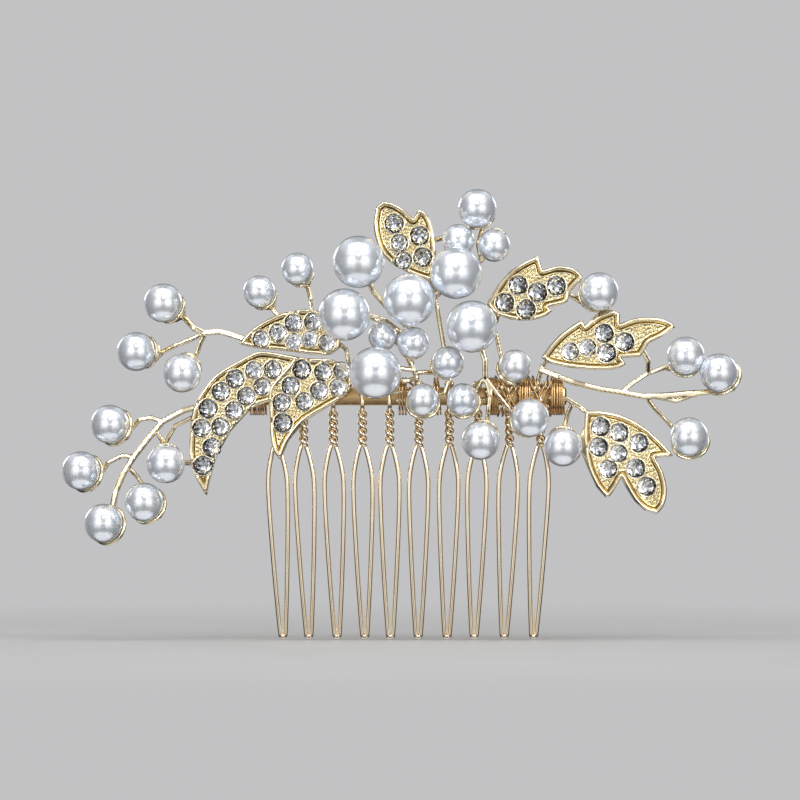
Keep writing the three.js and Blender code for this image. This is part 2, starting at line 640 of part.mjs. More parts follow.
const comb = new THREE.Group();
comb.position.copy(mountFlat()).negate();
comb.add(meshOf("spine_bar", spineBar(), MATERIALS.gold));
TOOTH_CENTRES.forEach((x, i) => comb.add(meshOf(`tooth_${i + 1}`, tooth(x), MATERIALS.wire)));
Object.entries(BINDINGS).forEach(([name, { slots, front, back }]) => {
  comb.add(meshOf(name, binding(slots, front, back), MATERIALS.wire));
});
Object.entries(CASTINGS).forEach(([name, spec]) => comb.add(meshOf(name, casting(spec), MATERIALS.gold)));
Object.entries(LEAVES).forEach(([name, leaf]) => {
  comb.add(meshOf(`${name}_leaf_stones`, stoneSet(leaf), MATERIALS.crystal));
});
Object.entries(PEARLS).forEach(([name, pearl]) => {
  comb.add(meshOf(name, pearlBody(pearl), MATERIALS.pearl));
});

export default comb;
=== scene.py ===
import math

import bpy
import numpy as np
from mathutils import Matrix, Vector

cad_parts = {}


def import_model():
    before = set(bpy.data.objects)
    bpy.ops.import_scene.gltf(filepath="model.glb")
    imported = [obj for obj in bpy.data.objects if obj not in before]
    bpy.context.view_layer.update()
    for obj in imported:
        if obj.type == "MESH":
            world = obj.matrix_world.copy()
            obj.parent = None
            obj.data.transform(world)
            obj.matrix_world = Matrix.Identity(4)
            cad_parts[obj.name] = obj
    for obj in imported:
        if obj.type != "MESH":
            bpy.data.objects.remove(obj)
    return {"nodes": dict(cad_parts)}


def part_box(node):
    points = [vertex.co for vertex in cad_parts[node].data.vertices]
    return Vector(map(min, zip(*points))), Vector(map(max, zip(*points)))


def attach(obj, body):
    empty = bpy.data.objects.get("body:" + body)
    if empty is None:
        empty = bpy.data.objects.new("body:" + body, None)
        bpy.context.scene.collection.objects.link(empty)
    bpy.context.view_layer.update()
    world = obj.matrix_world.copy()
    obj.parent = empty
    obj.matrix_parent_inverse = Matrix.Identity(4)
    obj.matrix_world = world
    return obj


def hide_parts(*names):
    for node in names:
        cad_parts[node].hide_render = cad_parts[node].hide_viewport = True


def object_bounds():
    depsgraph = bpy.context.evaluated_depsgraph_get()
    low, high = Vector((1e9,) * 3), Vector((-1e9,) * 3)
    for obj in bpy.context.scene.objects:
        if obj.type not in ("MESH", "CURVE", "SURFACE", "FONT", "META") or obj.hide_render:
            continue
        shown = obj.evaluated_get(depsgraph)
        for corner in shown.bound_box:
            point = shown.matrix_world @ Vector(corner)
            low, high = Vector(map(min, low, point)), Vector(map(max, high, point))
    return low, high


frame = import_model()
CAD_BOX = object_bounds()

# Meshes are built in millimetres in the row frame and scaled to metres at the end.
MM = 0.001
NODES = sorted(frame["nodes"])
PEARLS = [n for n in NODES if "_pearl_" in n]
CASTINGS = [n for n in NODES if n.endswith("_casting")]
STONE_SETS = [n for n in NODES if n.endswith("_leaf_stones")]
TEETH = [n for n in NODES if n.startswith("tooth_")]
BINDINGS = [n for n in NODES if n.startswith("binding_wire_")]

VOXEL = 0.123  # grid of the castings' surface
SPLINE_STEPS = 12  # samples between two points of a smooth curve

# -------------------------------- CAD shapes as arrays


def cad_mesh(name):
    """Welded vertices, in millimetres, and triangles of a CAD node."""
    mesh = frame["nodes"][name].data
    mesh.calc_loop_triangles()
    co = np.empty(len(mesh.vertices) * 3, np.float32)
    mesh.vertices.foreach_get("co", co)
    tris = np.empty(len(mesh.loop_triangles) * 3, np.int32)
    mesh.loop_triangles.foreach_get("vertices", tris)
    co = co.reshape(-1, 3).astype(float) / MM
    keys = np.round(co * 1000).astype(np.int64)
    _, first, inverse = np.unique(keys, axis=0, return_index=True, return_inverse=True)
    tris = inverse.reshape(-1)[tris.reshape(-1, 3)]
    whole = (tris[:, 0] != tris[:, 1]) & (tris[:, 1] != tris[:, 2]) & (tris[:, 0] != tris[:, 2])
    return co[first], tris[whole]


def unit(v):
    """Vectors of length one in the same directions."""
    v = np.asarray(v, float)
    return v / np.linalg.norm(v, axis=-1, keepdims=True)


def fit_pearl(name):
    """Centre, radius and the direction of the bore of a CAD pearl."""
    co, _ = cad_mesh(name)
    low, high = (np.array(c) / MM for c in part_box(name))
    guess, size = (low + high) / 2, (high - low).max() / 2
    outer = np.linalg.norm(co - guess, axis=1) > 0.8 * size
    p = co[outer]
    a = np.hstack([2 * p, np.ones((len(p), 1))])
    x = np.linalg.lstsq(a, (p * p).sum(1), rcond=None)[0]
    centre = x[:3]
    radius = math.sqrt(x[3] + centre @ centre)
    return centre, radius, unit(co[~outer].mean(0) - centre)


def top_plane(name, score):
    """The flat area of a node that looks forwards and scores highest: its normal, offset and triangles."""
    co, tris = cad_mesh(name)
    a, b, c = co[tris[:, 0]], co[tris[:, 1]], co[tris[:, 2]]
    cross = np.cross(b - a, c - a)
    area = np.linalg.norm(cross, axis=1) / 2
    keep = area > 1e-4
    normal = cross[keep] / (2 * area[keep, None])
    offset = (normal * a[keep]).sum(1)
    keys = np.round(np.column_stack([normal * 300, offset * 30])).astype(int)
    best, best_score = None, -np.inf
    for key in np.unique(keys[normal[:, 1] < -0.9], axis=0):
        near = (np.abs(keys - key) <= 1).all(1)
        scored = score(area[keep][near].sum(), offset[near].mean())
        if scored > best_score:
            best, best_score = near, scored
    picked = np.flatnonzero(keep)[best]
    n = unit((normal[best] * area[picked, None]).sum(0))
    return co, tris[picked], n, float((offset[best] * area[picked]).sum() / area[picked].sum())


def boundary_loop(tris):
    """Vertex numbers of the longest edge loop round a patch of triangles."""
    edges = {}
    for t in tris:
        for i in range(3):
            edges[(t[i], t[(i + 1) % 3])] = True
    follow = {a: b for a, b in edges if (b, a) not in edges}
    loops = []
    while follow:
        start, nxt = next(iter(follow.items()))
        loop = [start]
        del follow[start]
        while nxt != start and nxt in follow:
            loop.append(nxt)
            nxt = follow.pop(nxt)
        loops.append(loop)
    return max(loops, key=len)


# -------------------------------- mesh tools


def ease(share):
    """A smooth step from 0 to 1."""
    return share * share * (3 - 2 * share)


def join(parts):
    """Several pieces of mesh as one list of vertices and one of faces."""
    verts, faces, base = [], [], 0
    for v, f in parts:
        verts.append(np.asarray(v, float))
        faces += [[i + base for i in face] for face in f]
        base += len(v)
    return np.vstack(verts), faces


def new_object(name, verts, faces, material, smooth=True, painted_shade=None):
    """Links a mesh. Its material reads the painted shade, one value for each vertex or each face, as an
    attribute.
    """
    mesh = bpy.data.meshes.new(name)
    mesh.from_pydata((np.asarray(verts) * MM).tolist(), [], [list(map(int, f)) for f in faces])
    if painted_shade is not None:
        domain = "POINT" if len(painted_shade) == len(verts) else "FACE"
        attribute = mesh.attributes.new("painted_shade", "FLOAT", domain)
        attribute.data.foreach_set("value", painted_shade.astype(np.float32))
    if smooth:
        mesh.shade_smooth()
    else:
        mesh.shade_flat()
    mesh.materials.append(material)
    obj = bpy.data.objects.new(name, mesh)
    bpy.context.scene.collection.objects.link(obj)
    return obj


def stand_in_for(node, pieces):
    """Lets mesh pieces ride on the body in the place of a CAD node."""
    for piece in pieces:
        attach(piece, "root")
        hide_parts(node)


def voxel_union(parts, size):
    """One closed surface round all the parts, on a grid of the given size."""
    verts, faces = join(parts)
    mesh = bpy.data.meshes.new("soup")
    mesh.from_pydata(verts.tolist(), [], [list(map(int, f)) for f in faces])
    obj = bpy.data.objects.new("soup", mesh)
    bpy.context.scene.collection.objects.link(obj)
    remesh = obj.modifiers.new("voxel", "REMESH")
    remesh.mode = "VOXEL"
    remesh.voxel_size = size
    graph = bpy.context.evaluated_depsgraph_get()
    made = bpy.data.meshes.new_from_object(obj.evaluated_get(graph), depsgraph=graph)
    co = np.empty(len(made.vertices) * 3, np.float32)
    made.vertices.foreach_get("co", co)
    sizes = np.empty(len(made.polygons), np.int32)
    made.polygons.foreach_get("loop_total", sizes)
    loops = np.empty(len(made.loops), np.int32)
    made.loops.foreach_get("vertex_index", loops)
    bpy.data.objects.remove(obj)
    bpy.data.meshes.remove(mesh)
    bpy.data.meshes.remove(made)
    assert (sizes == 4).all()
    return co.reshape(-1, 3).astype(float), loops.reshape(-1, 4)


def quad_edges(quads):
    """The edges of the quads, each one once."""
    edges = np.vstack([quads[:, [i, (i + 1) % 4]] for i in range(4)])
    return np.unique(np.sort(edges, axis=1), axis=0)


def smooth_verts(co, quads, rounds, swell=-0.52):
    """Smooths a voxel surface. A negative swell, after each shrinking step, keeps its size."""
    edges = quad_edges(quads)
    a, b = edges[:, 0], edges[:, 1]
    count = len(co)
    degree = np.bincount(a, minlength=count) + np.bincount(b, minlength=count)
    co = co.copy()
    for i in range(2 * rounds):
        total = np.empty_like(co)
        for axis in range(3):
            total[:, axis] = np.bincount(a, co[b, axis], count) + np.bincount(b, co[a, axis], count)
        co += (0.5 if i % 2 == 0 else swell) * (total / degree[:, None] - co)
    return co


def vertex_normals(co, quads):
    """Outward normals, weighted by the areas of the quads round each vertex."""
    a, b, c, d = (co[quads[:, i]] for i in range(4))
    face = np.cross(c - a, d - b)
    normal = np.zeros_like(co)
    for i in range(4):
        for axis in range(3):
            normal[:, axis] += np.bincount(quads[:, i], face[:, axis], len(co))
    return unit(normal + 1e-12)


def sweep(points, radius, sides, closed=False):
    """A round rod along a line of points, with domed ends unless it is closed."""
    p = np.asarray(points, float)
    if closed:
        tangent = unit(np.roll(p, -1, 0) - np.roll(p, 1, 0))
    else:
        tangent = unit(np.gradient(p, axis=0))
    normal = np.cross(tangent[0], [0.31, 0.17, 0.93])
    normal = unit(normal)
    frames = []
    for t in tangent:
        normal = unit(normal - t * (normal @ t))
        frames.append((normal, np.cross(t, normal)))
    r = np.broadcast_to(np.asarray(radius, float), len(p)).copy()
    rings = [(p[i], frames[i], r[i]) for i in range(len(p))]
    if not closed:
        dome = [(0.5, 0.87), (0.87, 0.5), (0.98, 0.2)]
        head = [(p[0] - tangent[0] * r[0] * a, frames[0], r[0] * b) for a, b in reversed(dome)]
        tail = [(p[-1] + tangent[-1] * r[-1] * a, frames[-1], r[-1] * b) for a, b in dome]
        rings = head + rings + tail
    angle = 2 * np.pi * np.arange(sides) / sides
    verts = np.vstack([
        c + k * (np.cos(angle)[:, None] * n + np.sin(angle)[:, None] * m) for c, (n, m), k in rings
    ])
    faces, count = [], len(rings)
    for i in range(count if closed else count - 1):
        j = (i + 1) % count
        shift = 0
        if closed and j == 0:
            first, last = rings[0][1][0], rings[-1][1]
            shift = round(math.atan2(first @ last[1], first @ last[0]) / (2 * math.pi) * sides)
        for k in range(sides):
            q = (k + 1) % sides
            faces.append([i * sides + (k + shift) % sides, i * sides + (q + shift) % sides,
                          j * sides + q, j * sides + k])
    if not closed:
        faces.append(list(range(sides))[::-1])
        faces.append([(count - 1) * sides + k for k in range(sides)])
    return verts, faces


def spline(p0, p1, p2, p3, t):
    """The Catmull-Rom curve from p1 to p2."""
    bend = (2 * p0 - 5 * p1 + 4 * p2 - p3) * t**2
    return 0.5 * (2 * p1 + (p2 - p0) * t + bend + (3 * p1 - p0 - 3 * p2 + p3) * t**3)


def lengths_along(points):
    """Distance along a line from its start to each of its points."""
    return np.concatenate([[0], np.cumsum(np.linalg.norm(np.diff(points, axis=0), axis=1))])


def curve_through(points, step):
    """Points at an even spacing along a smooth curve through the given ones."""
    p = np.asarray(points, float)
    ext = np.vstack([2 * p[0] - p[1], p, 2 * p[-1] - p[-2]])
    t = (np.arange(SPLINE_STEPS) / SPLINE_STEPS)[:, None]
    made = [spline(*ext[i - 1 : i + 3], t) for i in range(1, len(ext) - 2)]
    dense = np.vstack([*made, p[-1:]])
    length = lengths_along(dense)
    at = np.linspace(0, length[-1], max(3, int(length[-1] / step)))
    return np.column_stack([np.interp(at, length, column) for column in dense.T])


def lathe(profile, segments, centre, axis):
    """A solid turned about an axis. The profile holds (radius, height) and starts and ends on the axis."""
    axis = unit(axis)
    side = unit(np.cross(axis, [0.2, 0.1, 1.0]))
    other = np.cross(axis, side)
    angle = 2 * np.pi * np.arange(segments) / segments
    around = np.cos(angle)[:, None] * side + np.sin(angle)[:, None] * other
    verts = [centre + axis * profile[0][1]]
    for r, h in profile[1:-1]:
        verts += list(centre + axis * h + around * r)
    verts.append(centre + axis * profile[-1][1])
    rings = len(profile) - 2
    faces = [[0, 1 + (k + 1) % segments, 1 + k] for k in range(segments)]
    for i in range(rings - 1):
        a, b = 1 + i * segments, 1 + (i + 1) * segments
        faces += [[a + k, a + (k + 1) % segments, b + (k + 1) % segments, b + k] for k in range(segments)]
    last, end = 1 + (rings - 1) * segments, 1 + rings * segments
    faces += [[last + k, last + (k + 1) % segments, end] for k in range(segments)]
    return np.array(verts), faces


# -------------------------------- materials


def node_material(name):
    """A new material, its node tree and its Principled shader."""
    material = bpy.data.materials.new(name)
    material.use_nodes = True
    tree = material.node_tree
    return material, tree, tree.nodes["Principled BSDF"]


def add(tree, kind, **values):
    """A new node. Each value sets the input of that name or, without one, the node's own property."""
    node = tree.nodes.new(kind)
    for key, value in values.items():
        if key in node.inputs:
            node.inputs[key].default_value = value
        else:
            setattr(node, key, value)
    return node


def ramp(tree, source, stops):
    """A colour ramp over a socket. Each stop is a position and a colour."""
    node = tree.nodes.new("ShaderNodeValToRGB")
    while len(node.color_ramp.elements) < len(stops):
        node.color_ramp.elements.new(0.5)
    for element, (at, colour) in zip(node.color_ramp.elements, stops):
        element.position = at
        element.color = (*colour, 1)
    tree.links.new(source, node.inputs["Fac"])
    return node.outputs["Color"]


def grey_ramp(tree, source, stops):
    """A ramp of grey levels."""
    return ramp(tree, source, [(at, (level,) * 3) for at, level in stops])


def combine(tree, kind, one, two):
    """Two colours multiplied or added by a mix node."""
    mix = add(tree, "ShaderNodeMix", data_type="RGBA", blend_type=kind)
    factor, first, second = (i for i in mix.inputs if i.enabled)
    factor.default_value = 1.0
    tree.links.new(one, first)
    tree.links.new(two, second)
    return next(o for o in mix.outputs if o.enabled)


def noise(tree, scale, detail=3.0):
    """Procedural noise in the object's own space."""
    coords = add(tree, "ShaderNodeTexCoord")
    node = add(tree, "ShaderNodeTexNoise", Scale=scale, Detail=detail)
    tree.links.new(coords.outputs["Object"], node.inputs["Vector"])
    return node.outputs["Fac"]


def bump(tree, shader, height, strength, distance):
    """Fine relief for a shader, as deep as distance in metres."""
    node = add(tree, "ShaderNodeBump", Strength=strength, Distance=distance)
    tree.links.new(height, node.inputs["Height"])
    tree.links.new(node.outputs["Normal"], shader.inputs["Normal"])


def gold_material(name, light, shade_and_patch_colour, roughness, grain):
    """Plated metal: painted shade darkens its colour in the hollows, random slow patches deepen it a little,
    and it has a fine cast grain.
    """
    material, tree, shader = node_material(name)
    shader.inputs["Metallic"].default_value = 1.0
    painted_shade = add(tree, "ShaderNodeAttribute", attribute_name="painted_shade")
    patch = grey_ramp(tree, noise(tree, 260), [(0.3, 0), (0.7, 1)])
    # painted shade from the attribute, plus a quarter of the random patches of tone
    shade_and_patches = add(tree, "ShaderNodeMath", operation="MULTIPLY_ADD")
    shade_and_patches.inputs[1].default_value = 0.25
    tree.links.new(patch, shade_and_patches.inputs[0])
    tree.links.new(painted_shade.outputs["Fac"], shade_and_patches.inputs[2])
    colour = ramp(tree, shade_and_patches.outputs[0], [(0.0, light), (1.0, shade_and_patch_colour)])
    tree.links.new(colour, shader.inputs["Base Color"])
    low, high = roughness
    rough = grey_ramp(tree, noise(tree, 900, 4), [(0.3, low), (0.7, high)])
    tree.links.new(rough, shader.inputs["Roughness"])
    bump(tree, shader, noise(tree, 2600, 4), grain, 0.00004)
    return material


def pearl_material():
    """Lacquered bead: satin nacre with a cool tint under a clear coat. Painted shade greys it towards its
    edge, and a painted reflection makes it pale at its rim."""
    material, tree, shader = node_material("pearl_lacquer")
    facing = add(tree, "ShaderNodeLayerWeight", Blend=0.4)
    # painted shade greys the colour towards the edge; the last stop is a painted pale rim reflection
    stops = [(0.0, (0.9, 0.93, 0.98)), (0.5, (0.83, 0.87, 0.94)), (0.85, (0.8, 0.82, 0.85)),
             (1.0, (0.96, 0.95, 0.94))]
    shade = ramp(tree, facing.outputs["Facing"], stops)
    cloud = ramp(tree, noise(tree, 320, 2), [(0.3, (0.95, 0.97, 1.0)), (0.7, (1.0, 0.99, 0.97))])
    tree.links.new(combine(tree, "MULTIPLY", shade, cloud), shader.inputs["Base Color"])
    rough = grey_ramp(tree, noise(tree, 700), [(0.3, 0.17), (0.7, 0.23)])
    tree.links.new(rough, shader.inputs["Roughness"])
    for key, value in {
        "Metallic": 0.55,
        "Subsurface Weight": 0.1,
        "Subsurface Scale": 0.0005,
        "Coat Weight": 0.6,
        "Coat Roughness": 0.04,
        "Coat IOR": 1.55,
    }.items():
        shader.inputs[key].default_value = value
    bump(tree, shader, noise(tree, 1500), 0.05, 0.00005)
    return material


def crystal_material():
    """Clear cut glass with a faint haze in its polish."""
    material, tree, shader = node_material("cut_crystal")
    tint = ramp(tree, noise(tree, 500), [(0.3, (0.96, 0.98, 1.0)), (0.7, (1.0, 1.0, 1.0))])
    tree.links.new(tint, shader.inputs["Base Color"])
    rough = grey_ramp(tree, noise(tree, 1200), [(0.4, 0.0), (0.8, 0.01)])
    tree.links.new(rough, shader.inputs["Roughness"])
    shader.inputs["IOR"].default_value = 1.6
    shader.inputs["Transmission Weight"].default_value = 1.0
    return material


def foil_material():
    """Silvered foil behind a stone. Its attribute paints dark reflections on some facets more than others;
    the real foil is even.
    """
    material, tree, shader = node_material("mirror_foil")
    shader.inputs["Metallic"].default_value = 1.0
    tint = ramp(tree, noise(tree, 700), [(0.3, (0.88, 0.9, 0.95)), (0.7, (0.98, 0.98, 0.99))])
    shade = add(tree, "ShaderNodeAttribute", attribute_name="painted_shade")
    dark = ramp(tree, shade.outputs["Fac"], [(0.0, (1, 1, 1)), (1.0, (0.07, 0.08, 0.13))])
    tree.links.new(combine(tree, "MULTIPLY", tint, dark), shader.inputs["Base Color"])
    rough = grey_ramp(tree, noise(tree, 1500), [(0.3, 0.02), (0.7, 0.06)])
    tree.links.new(rough, shader.inputs["Roughness"])
    return material


# The second colour of each gold is the painted shade in its hollows; the random patches reach a quarter of
# the way to it.
GOLD = gold_material("gold_plate", (0.97, 0.86, 0.62), (0.52, 0.36, 0.14), (0.08, 0.18), 0.2)
BED = gold_material("gold_bed", (1.0, 0.92, 0.66), (0.42, 0.31, 0.11), (0.07, 0.14), 0.15)
WIRE = gold_material("gold_wire", (1.0, 0.88, 0.68), (0.7, 0.46, 0.24), (0.08, 0.18), 0.1)
# painted shade: a darker, more amber copy of the plating for the spine bar and binding wire, which lie in
# shade
GOLD_IN_SHADE = gold_material("gold_in_painted_shade", (0.66, 0.45, 0.22), (0.34, 0.17, 0.06), (0.12, 0.25), 0.25)
PEARL = pearl_material()
CRYSTAL = crystal_material()
FOIL = foil_material()

# -------------------------------- pearls and cups

PEARL_FITS = {name: fit_pearl(name) for name in PEARLS}
BORE_RADIUS, BORE_LIP = 0.62, 0.12
BORE_DEPTH = 0.15  # the bore's bottom, as a share of the radius beyond the centre
PEG_RADIUS, PEG_DEPTH = 0.42, 0.3  # the peg, and its end as a share of the pearl's radius
CUP_GAP = 0.07  # between a pearl and its cup
CUP_REACH = 0.75  # how far outside a pearl its CAD cup still lies
DEEP_CUP = 0.8  # a cup whose lip reaches further round its pearl is thick and short


def pearl_shape(name, rng):
    """A bead turned about its bore, with a rounded bore mouth and the small unevenness of dipped lacquer."""
    centre, radius, axis = PEARL_FITS[name]
    mouth = math.asin((BORE_RADIUS + BORE_LIP) / radius)
    steps = 40
    profile = []
    for i in range(steps + 1):
        angle = math.pi - (math.pi - mouth) * i / steps
        profile.append((max(radius * math.sin(angle), 0), radius * math.cos(angle)))
    rim, bottom = radius * math.cos(mouth), radius * BORE_DEPTH
    profile += [(BORE_RADIUS + 0.04, rim - 0.03), (BORE_RADIUS, rim - 0.12)]
    profile += [(BORE_RADIUS, bottom), (0, bottom)]
    verts, faces = lathe(profile, 64, centre, axis)
    out = verts - centre
    length = np.linalg.norm(out, axis=1, keepdims=True)
    turn = rng.uniform(-1, 1, (3, 3))
    uneven = np.sin(out @ turn * (2.2 / radius)).sum(1, keepdims=True) * 0.0035 * radius
    outside = length > radius * 0.97
    return centre + out * np.where(outside, 1 + uneven / length, 1), faces


def cup_shape(name, share):
    """A round cup behind a pearl with a rolled lip, and the peg that stands in the bore. Cups that are
    seen from the side taper back to the stem like a calyx."""
    centre, radius, axis = PEARL_FITS[name]
    inner = radius + CUP_GAP
    lip = math.asin(share)
    profile = [(0, radius * PEG_DEPTH), (PEG_RADIUS, radius * PEG_DEPTH), (PEG_RADIUS, inner)]
    profile += [(inner * math.sin(a), inner * math.cos(a)) for a in np.linspace(0.25, lip, 10)]
    wall = 0.48 if share > DEEP_CUP else 0.28
    middle = inner + wall / 2
    for turn in np.linspace(0, math.pi, 6)[1:-1]:
        r = middle - wall / 2 * math.cos(turn)
        a = lip + math.sin(turn) * wall / 2 / middle
        profile.append((r * math.sin(a), r * math.cos(a)))
    outer = inner + wall
    seen_from_side = abs(axis[1]) < 0.75
    back = outer + (1.7 if seen_from_side and share < DEEP_CUP else 0.5)
    for t in np.linspace(0, 1, 9)[:-1]:
        r = outer * share * (1 - t) ** 1.3 + 0.4 * t
        h = outer * math.cos(lip) * (1 - t) + back * t
        grow = max(1, (inner + 0.2) / math.hypot(r, h))
        profile.append((r * grow, h * grow))
    profile.append((0, back + 0.1))
    return lathe(profile, 56, centre, axis)


def casting_of(name):
    """The casting whose peg stands in a pearl's bore."""
    centre, radius, axis = PEARL_FITS[name]
    peg_end = centre + axis * (radius * BORE_DEPTH + 0.3)
    return min(CASTINGS, key=lambda c: np.linalg.norm(CASTING_MESHES[c][0] - peg_end, axis=1).min())


def lip_share(name, casting):
    """How far round the pearl its CAD cup reaches, as the sine of the angle from the bore."""
    centre, radius, axis = PEARL_FITS[name]
    out = CASTING_MESHES[casting][0] - centre
    length = np.linalg.norm(out, axis=1)
    along = out @ axis
    near = (length < radius + CUP_REACH) & (along > 0)
    across = np.sqrt(np.maximum(length[near] ** 2 - along[near] ** 2, 0))
    return float(np.clip(across.max() / length[near][across.argmax()], 0.5, 0.95))


CASTING_MESHES = {name: cad_mesh(name) for name in CASTINGS}
# These cups hold their pearls from straight behind, so their lips stay out of sight.
SHALLOW_LIPS = {"top_pearl_2": 0.6, "right_pearl_1": 0.72, "drop_pearl_3": 0.7, "drop_pearl_2": 0.74,
                "lower_left_pearl_5": 0.7}
CUPS, LIPS = {}, {}
for pearl in PEARLS:
    owner = casting_of(pearl)
    LIPS[pearl] = min(lip_share(pearl, owner), SHALLOW_LIPS.get(pearl, 0.95))
    CUPS.setdefault(owner, []).append(cup_shape(pearl, LIPS[pearl]))

rng = np.random.default_rng(7)
for pearl in PEARLS:
    stand_in_for(pearl, [new_object(f"{pearl}_bead", *pearl_shape(pearl, rng), PEARL)])

# -------------------------------- leaves

STONE_RADIUS = 1.5
BEAD_PITCH, BEAD_HEIGHT = 0.58, 0.42
SEAT_GAP, SEAT_DEPTH = 0.07, 0.68  # clearance round a stone, and how deep its seat is in the middle
TRAY_DEPTH = 0.87  # how far the casting is hollowed under a leaf's relief
TRAY_BORDER, TRAY_SLOPE = 0.2, 0.15
PLATE_THICKNESS = 1.2  # of the CAD leaves
BACK_HOLLOW, BACK_BORDER, BACK_SLOPE = 0.17, 0.5, 0.35  # the hollow in a leaf's back, and its border
LEAF_STEP = 0.075
RIM_INSET, RIM_HEIGHT, RIM_RADIUS = 0.27, 0.14, 0.3
RIM_DIP = 0.42  # how far the rim sinks where it passes behind a stone
RIDGE_HEIGHT, RIDGE_RADIUS = 0.34, 0.26
COLLAR_GAP = 0.1  # from a stone's girdle to the middle of its collar
COLLAR_HEIGHT, COLLAR_RADIUS = 0.16, 0.12
SHARP_TURN = math.radians(42)
OUTLINE_STEP = 0.2


class Leaf:
    """A leaf's flat front in its own frame: u runs to the right, v runs up, and h stands out of the leaf."""

    def __init__(self, casting):
        co, tris, self.normal, self.offset = top_plane(casting, lambda area, offset: area)
        self.u = unit([-self.normal[1], self.normal[0], 0])
        self.v = np.array([0.0, 0.0, 1.0])
        loop = co[boundary_loop(tris)]
        self.edge = smooth_outline(np.column_stack([loop @ self.u, loop @ self.v]))
        self.stones = self.radii = None
        self.ridge = np.empty((0, 2))

    def set_stones(self, places):
        """Keeps the stones' centres, each stone as large as its nearest neighbour allows."""
        self.stones = np.array([(p @ self.u, p @ self.v) for p in places])
        apart = np.linalg.norm(self.stones[:, None] - self.stones[None], axis=2)
        np.fill_diagonal(apart, np.inf)
        self.radii = np.minimum(STONE_RADIUS, apart.min(1) / 2 - 0.02)

    def stone_gap(self, uv):
        """Distance from points to the girdle of the nearest stone, negative under a stone."""
        return (np.linalg.norm(uv[:, None] - self.stones[None], axis=2) - self.radii).min(1)

    def at(self, uv, h):
        uv = np.asarray(uv, float)
        h = np.broadcast_to(np.asarray(h, float), uv.shape[:-1])
        return uv[..., :1] * self.u + uv[..., 1:] * self.v + (self.offset + h)[..., None] * self.normal


def turns(points):
    """How far a closed line turns at each of its points, in radians."""
    before, after = points - np.roll(points, 1, 0), np.roll(points, -1, 0) - points
    return np.angle((after[:, 0] + 1j * after[:, 1]) / (before[:, 0] + 1j * before[:, 1]))


def smooth_outline(points):
    """The outline as a smooth curve through its points, kept sharp where it turns hard."""
    count = len(points)
    sharp = np.abs(turns(points)) > SHARP_TURN
    made = []
    for i in range(count):
        p0, p1, p2, p3 = points[i - 1], points[i], points[(i + 1) % count], points[(i + 2) % count]
        if sharp[i]:
            p0 = 2 * p1 - p2
        if sharp[(i + 1) % count]:
            p3 = 2 * p2 - p1
        n = max(2, round(np.linalg.norm(p2 - p1) / OUTLINE_STEP))
        made += [spline(p0, p1, p2, p3, t) for t in np.arange(n) / n]
    return np.array(made)


def inside(points, polygon):
    """Which points lie inside a polygon."""
    a, b = polygon, np.roll(polygon, -1, 0)
    x, y = points[:, 0, None], points[:, 1, None]
    crosses = (a[:, 1] > y) != (b[:, 1] > y)
    slope = (b[:, 0] - a[:, 0]) / np.where(b[:, 1] == a[:, 1], 1e-9, b[:, 1] - a[:, 1])
    return (crosses & (x < a[:, 0] + slope * (y - a[:, 1]))).sum(1) % 2 == 1


def distance(points, targets):
    """Distance from each point to the nearest of the targets."""
    return np.sqrt(((points[:, None] - targets[None]) ** 2).sum(2)).min(1)


def seat_height(gap):
    """Height of the conical seat under a stone, from the distance to the stone's girdle."""
    return SEAT_DEPTH * (gap - SEAT_GAP) / (STONE_RADIUS + SEAT_GAP) - 0.1


def leaf_height(uv, leaf, edge_gap):
    """Height of a leaf's front over its plate: a bed that dips inside the rim, seats, lines and beads."""
    gap = leaf.stone_gap(uv)
    bed = 0.12 - 0.2 * np.exp(-(((edge_gap - 0.62) / 0.22) ** 2))
    free = np.clip((gap - 0.23) / 0.1, 0, 1)
    line = 0.2 * np.exp(-(((edge_gap - 0.95) / 0.1) ** 2)) * free
    u = uv[:, 0] + 0.13 * np.sin(2.9 * uv[:, 1] + 1.3 * np.sin(1.7 * uv[:, 0]))
    v = uv[:, 1] + 0.13 * np.sin(3.3 * uv[:, 0] + 1.1 * np.sin(1.9 * uv[:, 1]))
    u, v = u / BEAD_PITCH, v / BEAD_PITCH * 1.732  # rows of a honeycomb
    lattice = np.cos(2 * np.pi * u) + np.cos(np.pi * (u + v)) + np.cos(np.pi * (u - v))
    bead = np.sqrt(np.clip((lattice + 0.3) / 3.3, 0, 1)) * free * np.clip((edge_gap - 1.08) / 0.1, 0, 1)
    bead *= 1 + 0.25 * np.sin(5.3 * uv[:, 0] + 2.0) * np.sin(4.7 * uv[:, 1])
    ridge = np.zeros(len(uv))
    if len(leaf.ridge):
        from_ridge = distance(uv, leaf.ridge)
        ridge = 0.2 * np.exp(-((from_ridge / 0.3) ** 2))
        bead *= np.clip((from_ridge - 0.4) / 0.1, 0, 1)
    height = bed + line + BEAD_HEIGHT * bead + ridge
    return np.where(gap < SEAT_GAP, seat_height(gap), height)


